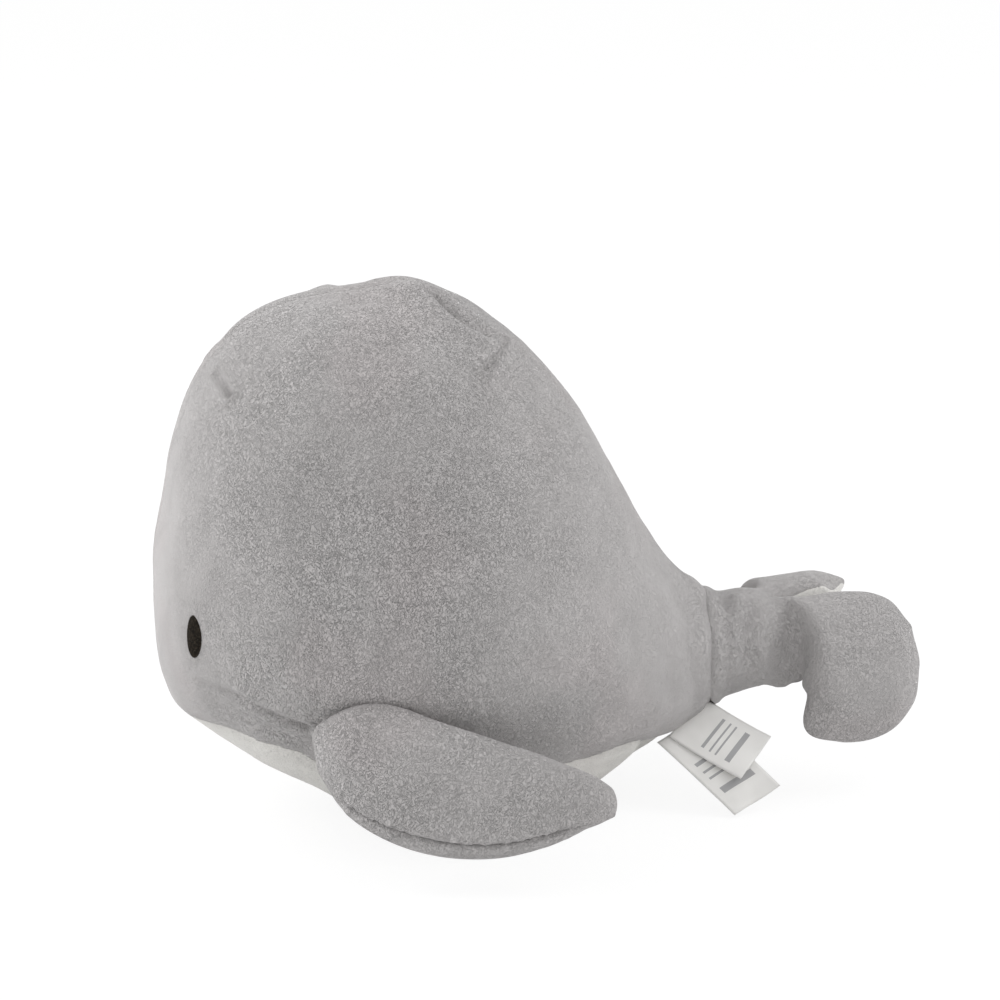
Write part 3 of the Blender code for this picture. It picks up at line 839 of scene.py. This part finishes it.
def mixed(tree, factor, first, second, blend="MIX"):
    node = add_node(tree, "ShaderNodeMix", data_type="RGBA", blend_type=blend)
    for socket, value in ((node.inputs[0], factor), (node.inputs[6], first), (node.inputs[7], second)):
        if isinstance(value, (int, float)):
            socket.default_value = value
        elif isinstance(value, tuple):
            socket.default_value = (*value, 1.0)
        else:
            tree.links.new(value, socket)
    return node.outputs[2]


def bumped(tree, height, distance, strength):
    node = add_node(tree, "ShaderNodeBump")
    node.inputs["Strength"].default_value = strength
    node.inputs["Distance"].default_value = distance
    tree.links.new(height, node.inputs["Height"])
    return node.outputs["Normal"]


def banded(tree, value, stops):
    """The value carried through a list of (place, result) stops, smoothly from one to the next."""
    result = stops[0][1]
    for (place, before), (following, after) in zip(stops, stops[1:]):
        result = maths(tree, "ADD", result, ranged(tree, value, place, following, 0.0, after - before))
    return result


def cracks(tree, where, scale, width, distortion):
    """Zero along winding lines and one between them, as pile parts into worm-like clumps."""
    field = noise_node(tree, where, scale, 1.0, distortion)
    away = maths(tree, "ABSOLUTE", maths(tree, "SUBTRACT", field, 0.5))
    return ranged(tree, away, 0.0, width)


def plush(name, base, tint, crinkle):
    """Short crinkled pile: winding clumps of fibres 1 to 2 mm wide, deeper in patches, with painted shade
    in the partings between them, and a soft sheen.
    """
    made, tree, shader = new_material(name)
    where = add_node(tree, "ShaderNodeTexCoord").outputs["Object"]
    stretch = add_node(tree, "ShaderNodeMapping")
    stretch.inputs["Scale"].default_value = (1.15, 1.15, 0.80)
    tree.links.new(where, stretch.inputs["Vector"])
    laid = stretch.outputs["Vector"]
    coarse = cracks(tree, laid, 560, 0.034, 0.9)
    fine = cracks(tree, laid, 900, 0.050, 0.9)
    fibres = noise_node(tree, where, 1900, 2.0, 0.5, 0.7)
    place = add_node(tree, "ShaderNodeSeparateXYZ")
    tree.links.new(where, place.inputs[0])
    depths = ((-0.164, 0.12), (-0.125, 1.0), (-0.060, 0.95), (0.045, 0.30), (0.085, 0.60))
    brushed = banded(tree, place.outputs["X"], depths)
    patches = ranged(tree, noise_node(tree, where, 26, 2.0, 0.5), 0.34, 0.60, 0.60, 1.0)
    blotches = ranged(tree, noise_node(tree, where, 19, 1.0, 0.2), 0.50, 0.70, 0.0, 0.4)
    strokes = ranged(tree, noise_node(tree, laid, 44, 2.0, 0.8), 0.30, 0.70, 0.955, 1.045)
    clumps = maths(tree, "ADD", maths(tree, "MULTIPLY", coarse, 0.5), maths(tree, "MULTIPLY", fine, 0.5))
    depth = maths(tree, "MULTIPLY", patches, brushed)
    parting = maths(tree, "MULTIPLY", maths(tree, "SUBTRACT", clumps, 0.78), depth)
    height = maths(tree, "ADD", parting, maths(tree, "MULTIPLY", fibres, 0.25))
    colour = mixed(tree, blotches, base, tint)
    # Painted shade: the colour darkens in the partings between the clumps and lightens a little on their
    # tops
    shade = maths(tree, "ADD", maths(tree, "MULTIPLY", parting, 0.56), 1.0)
    parting_shade_and_grain = maths(tree, "MULTIPLY", shade, ranged(tree, fibres, 0.25, 0.75, 0.95, 1.05))
    parting_shade_and_grain = maths(tree, "MULTIPLY", parting_shade_and_grain, strokes)
    grey = add_node(tree, "ShaderNodeCombineColor")
    for socket in grey.inputs[:3]:
        tree.links.new(parting_shade_and_grain, socket)
    colour = mixed(tree, 1.0, colour, grey.outputs[0], "MULTIPLY")
    tree.links.new(colour, shader.inputs["Base Color"])
    tree.links.new(bumped(tree, height, 0.0009, crinkle), shader.inputs["Normal"])
    shader.inputs["Roughness"].default_value = 0.95
    shader.inputs["Specular IOR Level"].default_value = 0.12
    shader.inputs["Sheen Weight"].default_value = 0.32
    shader.inputs["Sheen Roughness"].default_value = 0.40
    return made


def thread_material():
    made, tree, shader = new_material("eye_thread")
    where = add_node(tree, "ShaderNodeTexCoord").outputs["Object"]
    strands = noise_node(tree, where, 900, 2.0, 0.3)
    specks = ranged(tree, noise_node(tree, where, 1900, 2.0), 0.56, 0.74, 0.0, 0.8)
    colour = mixed(tree, ranged(tree, strands, 0.35, 0.65), (0.010, 0.008, 0.006), (0.028, 0.022, 0.016))
    colour = mixed(tree, specks, colour, (0.080, 0.070, 0.055))
    tree.links.new(colour, shader.inputs["Base Color"])
    tree.links.new(bumped(tree, strands, 0.0002, 0.4), shader.inputs["Normal"])
    shader.inputs["Roughness"].default_value = 0.8
    shader.inputs["Specular IOR Level"].default_value = 0.1
    return made


def satin_material():
    """Thin satin with a few plain pale bars across it, placed by the ribbon's own measures."""
    made, tree, shader = new_material("label_satin")
    where = add_node(tree, "ShaderNodeTexCoord").outputs["Object"]
    weave = noise_node(tree, where, 2200, 2.0)
    soil = noise_node(tree, where, 60, 2.0)
    along = add_node(tree, "ShaderNodeAttribute", attribute_name="along").outputs["Fac"]
    across = add_node(tree, "ShaderNodeAttribute", attribute_name="across").outputs["Fac"]
    within = maths(tree, "LESS_THAN", maths(tree, "ABSOLUTE", across), LABEL_BAR_REACH_SHARE)
    printed = 0.0
    for middle, half in LABEL_BAR_SHARES:
        away = maths(tree, "ABSOLUTE", maths(tree, "SUBTRACT", along, middle))
        printed = maths(tree, "ADD", printed, maths(tree, "LESS_THAN", away, half))
    printed = maths(tree, "MULTIPLY", maths(tree, "MULTIPLY", printed, within), 0.85)
    colour = mixed(tree, ranged(tree, soil, 0.35, 0.75), (0.80, 0.79, 0.77), (0.72, 0.71, 0.69))
    colour = mixed(tree, printed, colour, (0.30, 0.30, 0.31))
    tree.links.new(colour, shader.inputs["Base Color"])
    tree.links.new(bumped(tree, weave, 0.0001, 0.3), shader.inputs["Normal"])
    shader.inputs["Roughness"].default_value = 0.42
    shader.inputs["Specular IOR Level"].default_value = 0.4
    return made


def dress(obj, material, body, slot, *nodes):
    """Finishes a piece: its material, the body that it rides on and the nodes that it stands for."""
    obj.data.materials.clear()
    obj.data.materials.append(material)
    obj.data.shade_smooth()
    if body:
        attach(obj, body)
    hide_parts(*nodes)
    return obj


# Body

def body_sharpness(numbers, middle, at_end):
    return 0.6 if BELLY in numbers else 0.0


def mark_body_cloth(body, camera):
    """Numbers faces near the belly's seam anew, so that gray and white part where the camera sees it."""
    numbers, middles = panel_numbers(body)
    facing = rows_of(body.data.polygons, "normal")
    flips = np.where(middles[:, 1:2] > 0, (1, -1, 1), (1, 1, 1))
    gap, _ = nearest_of(middles, seam_points(body, lambda numbers, place: BELLY in numbers))
    across, down = framed(camera, middles * flips)
    edge = np.interp(across, *zip(*GRAY_EDGE))
    near = gap < GRAY_EDGE_REACH
    underneath = ((facing * flips) @ np.array(camera_back()) < 0) & (facing[:, 2] < 0)
    below = near & ((down > edge) | underneath) & (across < REAR_WHITE_END)
    above = near & (down <= edge) & ~underneath
    numbers[below] = BELLY
    numbers[above] = np.where(middles[above, 1] > 0, RIGHT, LEFT)
    body.data.polygons.foreach_set("material_index", numbers)


def sewn_body(camera, gray, white):
    """The body's gray sides and its white belly. It returns the sides, by the sign of their Y."""
    chin = section_point(body_sections()[CHIN_SECTION], math.pi, 0)
    grids = [(LEFT, side_panel_grid(-1)), (RIGHT, flipped(side_panel_grid(1))), (BELLY, belly_grid())]
    body = stuffed_form("body", grids, body_sharpness, sharp_points=[chin])
    move_points(body, pulled(points_of(body), camera, BODY_PULLS, mirror=True))
    mark_body_cloth(body, camera)
    crown = seam_points(body, lambda numbers, place: numbers == {LEFT, RIGHT})
    low_seam = seam_points(body, lambda numbers, place: BELLY in numbers)
    points = points_of(body)
    lip_ring = points[points[:, 0] > TAIL_SEAM_X - WELD]
    even_surface = surface_of(body)

    lumps(body, [(0.070, 0.0016, 3), (0.028, 0.0007, 5), (0.012, 0.00025, 9)])
    for _, hand in SIDES:
        low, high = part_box(f"eye_{hand}")
        dimpled(body, [(a + b) / 2 for a, b in zip(low, high)], 0.0011, 0.013)
    tuck(body, crown, 0.0007, 0.0022, 0.0005, 0.009, 0.014, seed=4)
    tuck(body, low_seam, 0.0018, 0.0030, 0.0007, 0.010, 0.018, seed=6)
    tuck(body, lip_ring, 0.0022, 0.0045, 0.0008, 0.008, 0.016, seed=8)
    for flips, course, *shape in BODY_CREASES:
        line = seen_line(camera, even_surface, course)
        for flip in flips:
            crease(body, line * (1, flip, 1), *shape)
    ridge(body, seen_line(camera, even_surface, CROWN_RIDGE), 0.0020, 0.0060)

    left, right, belly = parted(body, ["side_left", "side_right", "belly"])
    for panel, nodes in ((left, ["body_panel_left", "body_stuffing"]), (right, ["body_panel_right"])):
        back_cloth(panel, BODY_CLOTH)
        dress(panel, gray, "torso", "gray_plush", *nodes)
    laid_flat(belly)
    back_cloth(belly, BODY_CLOTH)
    laid_flat(belly)
    dress(belly, white, "torso", "white_plush", "belly_panel")
    return {-1: left, 1: right}


# Tail

def tail_sharpness(numbers, middle, at_end):
    return 0.32 if middle.x > TAIL_NOTCH_REACH else 0.0


def mark_tail_cloth(tail, camera):
    """Numbers faces of the underside anew: gray cloth reaches a little way round to it.

    It does so on the near fluke and the stock, and on the far fluke above its edge in the frame.
    """
    numbers, middles = panel_numbers(tail)
    gap, _ = nearest_of(middles, seam_points(tail))
    back_in_tail = np.array(tail_frame().inverted())
    local_y = middles @ back_in_tail[1, :3] + back_in_tail[1, 3]
    across, down = framed(camera, middles)
    above = down < np.interp(across, *zip(*FAR_FLUKE_EDGE))
    facing = rows_of(tail.data.polygons, "normal")
    seen = (facing @ np.array(camera_back()) > 0) & (gap < 2 * GRAY_WRAP)
    wrapped = ((gap < GRAY_WRAP) | seen) & (local_y < FAR_FLUKE_START)
    far_edge = (gap < FAR_FLUKE_EDGE_REACH) & (local_y > FAR_FLUKE_START) & above
    numbers[(numbers == LOWER) & (wrapped | far_edge)] = UPPER
    tail.data.polygons.foreach_set("material_index", numbers)


def sewn_tail(camera, gray, white):
    """The tail's gray upper cloth and its white lower cloth."""
    faces = ((1, UPPER), (-1, LOWER))
    grids = [(index, tail_half_grid(face, side)) for face, index in faces for side in (-1, 1)]
    tail = stuffed_form("tail", grids, tail_sharpness, tail_frame())
    relaxed(tail, seen_point(camera, surface_of(tail), FLUKE_ROOT), 0.015, RELAX_ROUNDS)
    move_points(tail, pulled(points_of(tail), camera, TAIL_PULLS))
    relaxed(tail, seen_point(camera, surface_of(tail), FAR_FLUKE_TIP), 0.010, RELAX_ROUNDS)
    mark_tail_cloth(tail, camera)
    even_surface = surface_of(tail)

    lumps(tail, [(0.030, 0.0008, 23), (0.014, 0.0003, 25)])
    tuck(tail, seam_points(tail), 0.0010, 0.0018, 0.0005, 0.006, 0.010, seed=26)
    points = points_of(tail)
    inside_lip = points[np.abs(points[:, 0] - TAIL_SEAM_X) < INSIDE_LIP_REACH]
    tuck(tail, inside_lip, 0.0030, 0.0038, 0.0005, 0.008, 0.012, seed=28)
    for course, *shape in STOCK_CREASES:
        crease(tail, seen_line(camera, even_surface, course), *shape)

    edge_seam = seam_points(tail)
    upper, lower = parted(tail, ["tail_upper", "tail_lower"])
    for panel, look, slot, nodes in (
        (upper, gray, "gray_plush", ["tail_upper_panel", "tail_stuffing"]),
        (lower, white, "white_plush", ["tail_lower_panel"]),
    ):
        back_cloth(panel, LIMB_CLOTH, edge_seam)
        dress(panel, look, None, slot, *nodes)
        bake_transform(panel)


# Flippers

def flipper_sharpness(numbers, middle, at_end):
    on_stitched_seam = not at_end and abs(middle.z) > WELD and middle.x < FLIPPER_LENGTH * 0.6
    return 0.7 if on_stitched_seam else 0.30


def sewn_flipper(camera, gray, side, hand):
    """A flipper's outer and inner cloth, with the stitched seam that shows below its outer face."""
    place = flipper_frame(side)
    grids = [(UPPER, flipper_grid(1, side)), (LOWER, flipper_grid(-1, side))]
    flipper = stuffed_form(f"flipper_{hand}", grids, flipper_sharpness)
    stitched = seam_points(flipper, lambda numbers, point: abs(point.z) > STITCHED_SEAM_RISE)
    seam_ends = [stitched[stitched[:, 0].argmin()], stitched[stitched[:, 0].argmax()]]
    seam_ends = [np.array(place @ Vector(end)) for end in seam_ends]
    stitched = np.array([place @ Vector(point) for point in stitched])
    flipper.data.transform(place)
    to_near_side = (1, -side, 1)
    drawn = pulled(points_of(flipper) * to_near_side, camera, FLIPPER_PULLS)
    move_points(flipper, drawn * to_near_side)
    lumps(flipper, [(0.040, 0.0010, 33), (0.015, 0.0004, 35)])
    tuck(flipper, stitched, 0.0024, 0.0013, 0.0015, 0.0034, 0.0085, 0.6, seam_ends, seed=36)

    edge_seam = seam_points(flipper)
    _, up, _ = flipper_axes(side)
    upper, lower = parted(flipper, [f"flipper_{hand}_upper", f"flipper_{hand}_lower"])
    for panel, nodes in (
        (upper, [f"flipper_{hand}_upper_panel", f"flipper_{hand}_stuffing"]),
        (lower, [f"flipper_{hand}_lower_panel"]),
    ):
        back_cloth(panel, LIMB_CLOTH, edge_seam)
        dress(panel, gray, None, "gray_plush", *nodes)
        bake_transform(panel)


# Eyes

def stitched_eye(surface, thread, side, hand, ends):
    """Rows of satin stitches laid on the cloth between the eye's ends, with a slightly pointed top."""
    top, foot = (Vector((end.x, -side * end.y, end.z)) for end in ends)
    middle, out, _, _ = surface.find_nearest((top + foot) / 2)
    up = (top - foot - out * out.dot(top - foot)).normalized()
    across = up.cross(out)
    bm = bmesh.new()
    lines = []
    for row in range(EYE_ROWS + 1):
        level = -1 + 2 * row / EYE_ROWS
        power, root = (1.85, 0.56) if level > 0 else (2.05, 0.5)
        half = max(0.0, 1 - abs(level) ** power) ** root
        edge = 0.93 + 0.06 * noise.noise(Vector((row // ROWS_PER_STITCH * 0.7, side * 5, 0)))
        thread_height = abs(math.sin(math.pi * row / ROWS_PER_STITCH))
        line = []
        for column in range(EYE_COLUMNS + 1):
            share = -1 + 2 * column / EYE_COLUMNS
            place = middle + across * share * half * edge * EYE_WIDTH / 2 + up * level * EYE_HEIGHT / 2
            hit, normal, _, _ = surface.find_nearest(place)
            domed = math.sqrt(max(0.0, 1 - share**2)) * math.sqrt(half)
            swell = 0.45 * domed + 0.14 * thread_height * min(1.0, 4 * domed)
            line.append(bm.verts.new(hit + normal * (EYE_THICKNESS * swell - EYE_SINK)))
        lines.append(line)
    add_faces(bm, lines)
    bmesh.ops.remove_doubles(bm, verts=bm.verts, dist=WELD / 5)
    bmesh.ops.recalc_face_normals(bm, faces=bm.faces)
    eye = object_from(bm, f"eye_{hand}_stitches")
    back_cloth(eye, EYE_BACKING)
    dress(eye, thread, "torso", "eye_thread", f"eye_{hand}")


# Care labels

def label_frame():
    """Places a label whose own axes run across it, back to the seam and up from its face."""
    joint = joints["label_flap"]
    along = -Vector(joint["axis"]).normalized()
    run = Vector(LABEL_RUN_DIRECTION_SHARES)
    run = (run - run.dot(along) * along).normalized()
    axes = Matrix((along, -run, along.cross(-run))).transposed().to_4x4()
    return Matrix.Translation(Vector(joint["pos_m"])) @ axes


def care_label(satin, name, length, slide, curl, level=0.0, sewn_in=0.0, swing=0.0, fan=0.0, lift=0.0):
    """A satin ribbon that hangs from its seam.

    It slides along the seam at its start and curls down to its end. It lies at a level above the
    seam's line, with a part sewn in, is swung round in its plane, fans further round to its end
    and lifts there.
    """
    bm = bmesh.new()
    along_layer = bm.verts.layers.float.new("along")
    across_layer = bm.verts.layers.float.new("across")
    rows = []
    for cell in range(LABEL_ROWS + 1):
        share = cell / LABEL_ROWS
        distance = share * length - sewn_in
        turn = Matrix.Rotation(swing + fan * share, 3, "Z")
        middle = Matrix.Rotation(swing + fan * share / 2, 3, "Z") @ Vector((0, -distance, 0))
        middle.x += slide * (1 - share)
        middle.z = level + lift * share**2 - curl * (distance / LABEL_LENGTH) ** 2
        row = []
        for column in range(LABEL_COLUMNS + 1):
            reach = column / LABEL_COLUMNS - 0.5
            wave = LABEL_WAVE * share * math.sin(math.tau * (reach + share * 0.6))
            vert = bm.verts.new(middle + turn @ Vector((reach * LABEL_WIDTH, 0, wave)))
            vert[along_layer] = share
            vert[across_layer] = reach
            row.append(vert)
        rows.append(row[::-1])
    add_faces(bm, rows)
    label = object_from(bm, f"{name}_ribbon")
    label.data.transform(label_frame())
    cloth = label.modifiers.new("cloth", "SOLIDIFY")
    cloth.thickness = RIBBON_THICKNESS
    cloth.offset = 0
    finished(label)
    dress(label, satin, "labels", "label_satin", name)


# Floor, world and lights

def glowing(node, strength):
    """Sets a light source's node to plain white."""
    node.inputs["Color"].default_value = (1, 1, 1, 1)
    node.inputs["Strength"].default_value = strength
    return node


def shown_to_camera(tree, seen, share, elsewhere, output):
    """Gives the camera's rays the node seen, by a share, and all other rays the node elsewhere."""
    path = add_node(tree, "ShaderNodeLightPath")
    choice = add_node(tree, "ShaderNodeMixShader")
    tree.links.new(maths(tree, "MULTIPLY", path.outputs["Is Camera Ray"], share), choice.inputs[0])
    tree.links.new(elsewhere.outputs[0], choice.inputs[1])
    tree.links.new(seen.outputs[0], choice.inputs[2])
    tree.links.new(choice.outputs[0], tree.nodes[output].inputs["Surface"])


def lay_floor():
    """A pale floor that keeps the object's shadow and looks almost white to the camera."""
    bpy.ops.mesh.primitive_plane_add(size=12)
    floor = bpy.context.object
    floor.name = "floor"
    made, tree, shader = new_material("floor")
    shader.inputs["Base Color"].default_value = (0.90, 0.90, 0.90, 1)
    shader.inputs["Roughness"].default_value = 0.9
    shader.inputs["Specular IOR Level"].default_value = 0.1
    glow = glowing(add_node(tree, "ShaderNodeEmission"), 1.035)
    shown_to_camera(tree, glow, 0.86, shader, "Material Output")
    floor.data.materials.append(made)


def make_world():
    """An even white world, at full strength only where the camera sees it."""
    world = bpy.data.worlds.new("studio")
    bpy.context.scene.world = world
    world.use_nodes = True
    tree = world.node_tree
    dim = glowing(tree.nodes["Background"], 0.78)
    bright = glowing(add_node(tree, "ShaderNodeBackground"), 1.0)
    shown_to_camera(tree, bright, 1.0, dim, "World Output")


def area_light(name, place, target, size, power):
    data = bpy.data.lights.new(name, "AREA")
    data.size = size
    data.energy = power
    light = bpy.data.objects.new(name, data)
    bpy.context.scene.collection.objects.link(light)
    light.location = place
    light.rotation_euler = (Vector(place) - Vector(target)).to_track_quat("Z", "Y").to_euler()


# The scene

camera = make_camera()
gray = plush("gray_plush", (0.433, 0.418, 0.415), (0.448, 0.414, 0.413), 0.90)
white = plush("white_plush", (0.660, 0.648, 0.622), (0.670, 0.640, 0.615), 0.45)
thread = thread_material()
satin = satin_material()

sides = sewn_body(camera, gray, white)
sewn_tail(camera, gray, white)
for side, hand in SIDES:
    sewn_flipper(camera, gray, side, hand)
eye_ends = [Vector(seen_point(camera, surface_of(sides[-1]), place)) for place in EYE_SEEN]
for side, hand in SIDES:
    stitched_eye(surface_of(sides[side]), thread, side, hand, eye_ends)
care_label(satin, "care_label_long", LABEL_LENGTH, slide=-0.0075, curl=0.0040)
care_label(
    satin,
    "care_label_short",
    LABEL_LENGTH - LABEL_SHORTER_BY,
    slide=-0.0015,
    curl=0.0045,
    level=LABEL_THICKNESS + LABEL_GAP,
    sewn_in=0.0030,
    swing=0.28,
    fan=0.07,
    lift=0.0030,
)

lay_floor()
make_world()
area_light("left softbox", (-1.40, 0.48, 1.09), (-0.05, 0, 0.1), 0.9, 18)
area_light("right softbox", (1.25, 0.0, 1.29), (0, 0, 0.1), 0.9, 11)
bpy.context.scene.view_settings.view_transform = "Standard"
